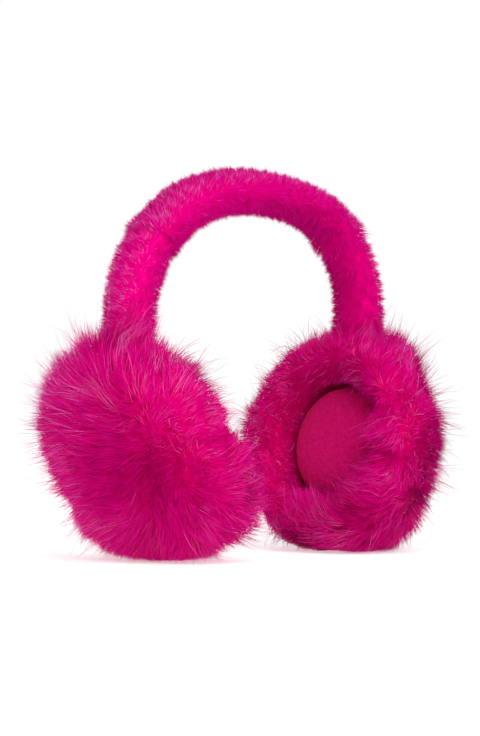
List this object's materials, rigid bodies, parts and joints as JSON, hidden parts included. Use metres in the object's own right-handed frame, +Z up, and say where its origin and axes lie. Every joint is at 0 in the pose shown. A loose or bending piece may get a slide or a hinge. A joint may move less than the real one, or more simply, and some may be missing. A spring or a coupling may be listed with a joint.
{
  "type": "fur earmuffs",
  "caption": "Earmuffs with a fur-covered headband, deep long-haired fur cups and domed fabric ear pads, standing on their cups.",
  "frame": {"origin": "on the surface that the cups rest on, below the middle of the bounding box", "axes": "+X from ear to ear, -Y the front, +Z up from the cups to the top of the headband"},
  "size_m": [0.235, 0.1308, 0.2004],
  "materials": {
    "band_fur": "short dense dyed fur",
    "cup_fur": "long dyed fur with paler guard hairs",
    "pad_cloth": "matte fine knit over padding"
  },
  "bodies": {
    "root": {"headband_top": "band_fur", "headband_side_left": "band_fur", "headband_side_right": "band_fur", "cup_fur_left": "cup_fur", "cup_fur_right": "cup_fur", "ear_pad_left": "pad_cloth", "ear_pad_right": "pad_cloth"}
  },
  "joints": []
}
